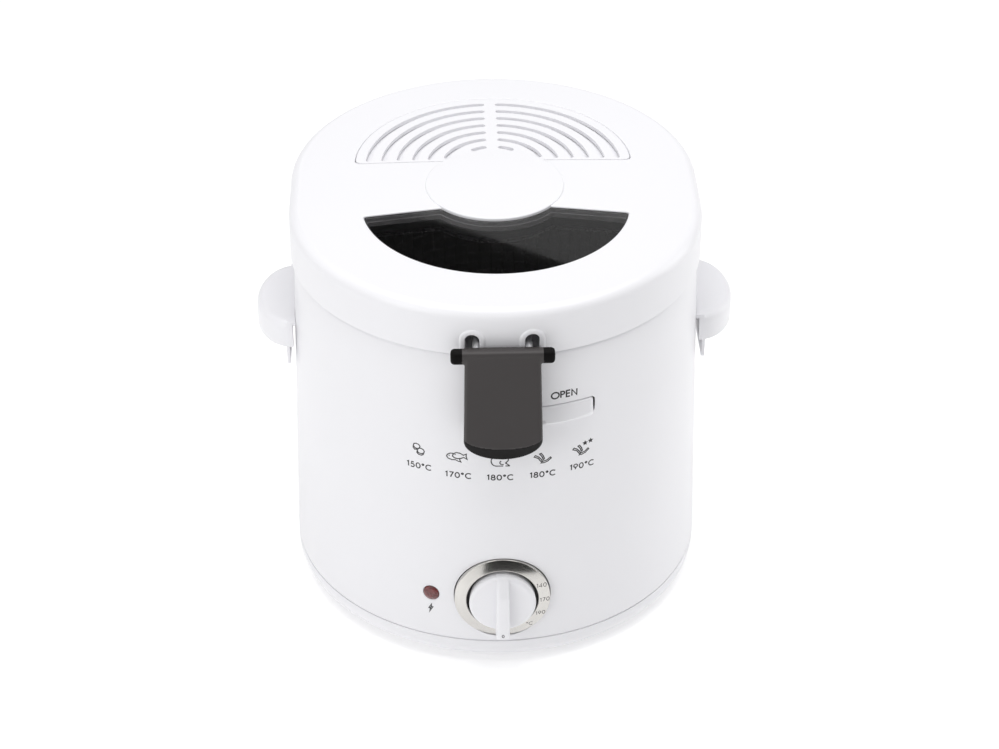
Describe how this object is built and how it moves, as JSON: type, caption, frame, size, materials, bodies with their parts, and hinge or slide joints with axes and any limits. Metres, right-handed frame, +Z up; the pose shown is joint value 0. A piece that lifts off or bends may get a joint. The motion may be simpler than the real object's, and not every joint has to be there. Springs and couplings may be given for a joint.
{
  "type": "deep fryer",
  "caption": "Compact deep fryer: oval housing with a temperature dial, side grips, hinged windowed lid and a lift-out basket with a folding grip.",
  "frame": {"origin": "on the standing surface, under the middle of the fryer's bounding box, which is the oil pot's vertical axis", "axes": "+Z up, front with the dial and the basket grip towards -Y, +X to the right seen from the front"},
  "size_m": [0.25, 0.276, 0.218],
  "materials": {
    "white_plastic": "smooth satin-gloss moulding",
    "black_plastic": "fine matt grain",
    "chrome": "polished rim, brushed face",
    "steel": "bright wire and zinc plate",
    "aluminium": "pressed sheet",
    "nonstick": "dark non-stick coating",
    "rubber": "matt",
    "silicone": "matt",
    "tinted_glazing": "glossy clear pane",
    "lamp_red": "glossy translucent",
    "filter_foam": "open-cell foam",
    "terminal_plastic": "heat-resistant moulding",
    "brass": "plain",
    "wire_insulation": "smooth sleeve"
  },
  "bodies": {
    "housing": {"outer_housing": "white_plastic", "base_cover": "white_plastic", "base_screw_1": "steel", "base_screw_2": "steel", "base_screw_3": "steel", "base_screw_4": "steel", "foot_front_left": "rubber", "foot_front_right": "rubber", "foot_rear_left": "rubber", "foot_rear_right": "rubber", "side_handle_left": "white_plastic", "side_handle_right": "white_plastic", "handle_screw_left_1": "steel", "handle_screw_left_2": "steel", "handle_screw_right_1": "steel", "handle_screw_right_2": "steel", "oil_pot": "nonstick", "pot_stud": "steel", "stud_nut": "steel", "heating_element": "steel", "heat_shield": "aluminium", "thermal_fuse": "aluminium", "thermostat_bulb": "brass", "capillary_tube": "brass", "thermostat_body": "terminal_plastic", "dial_bezel": "chrome", "lamp_lens": "lamp_red", "lamp_holder": "terminal_plastic", "terminal_block": "terminal_plastic", "cord_gland": "black_plastic", "lead_to_thermostat": "wire_insulation", "button_spring": "steel", "latch_bracket": "terminal_plastic", "hinge_bracket": "white_plastic", "bracket_screw_left": "steel", "bracket_screw_right": "steel", "hinge_pin": "steel", "lid_spring": "steel"},
    "lid": {"lid_shell": "white_plastic", "vent_cover": "white_plastic", "window_pane": "tinted_glazing", "lid_liner": "steel", "liner_screw_1": "steel", "liner_screw_2": "steel", "filter_pad": "filter_foam", "lid_seal": "silicone", "lid_hinge_arm": "white_plastic", "hinge_screw_left": "steel", "hinge_screw_right": "steel", "latch_keeper": "white_plastic"},
    "basket": {"frying_basket": "steel", "basket_rim": "steel", "basket_arm_left": "chrome", "basket_arm_right": "chrome"},
    "grip": {"basket_grip": "black_plastic"},
    "knob": {"dial_knob": "white_plastic", "thermostat_shaft": "brass"},
    "button": {"open_button": "white_plastic"},
    "catch": {"latch_catch": "white_plastic", "latch_pin": "steel"}
  },
  "joints": [
    {"name": "lid_hinge", "type": "hinge", "parent": "housing", "child": "lid", "pos_m": [0, 0.1315, 0.184], "axis": [-1, 0, 0], "range_deg": [0, 90]},
    {"name": "basket_lift", "type": "slide", "parent": "housing", "child": "basket", "axis": [0, 0, 1], "range_m": [0, 0.126]},
    {"name": "grip_fold", "type": "hinge", "parent": "basket", "child": "grip", "pos_m": [0, -0.1255, 0.1942], "axis": [-1, 0, 0], "range_deg": [0, 80]},
    {"name": "dial_turn", "type": "hinge", "parent": "housing", "child": "knob", "pos_m": [0, -0.125, 0.0437], "axis": [0, 1, 0], "range_deg": [0, 290]},
    {"name": "button_press", "type": "slide", "parent": "housing", "child": "button", "axis": [0, 1, 0], "range_m": [0, 0.0025], "stiffness_N_per_m": 600, "deforming": ["button_spring"]},
    {"name": "catch_rock", "type": "hinge", "parent": "housing", "child": "catch", "pos_m": [0.029, -0.1051, 0.168], "axis": [1, 0, 0], "range_deg": [0, 10.4]}
  ],
  "couplings": [
    {"joint": "basket_lift", "follows": "lid_hinge", "m_per_rad": 0.08},
    {"joint": "catch_rock", "follows": "button_press", "rad_per_m": 71.43}
  ]
}
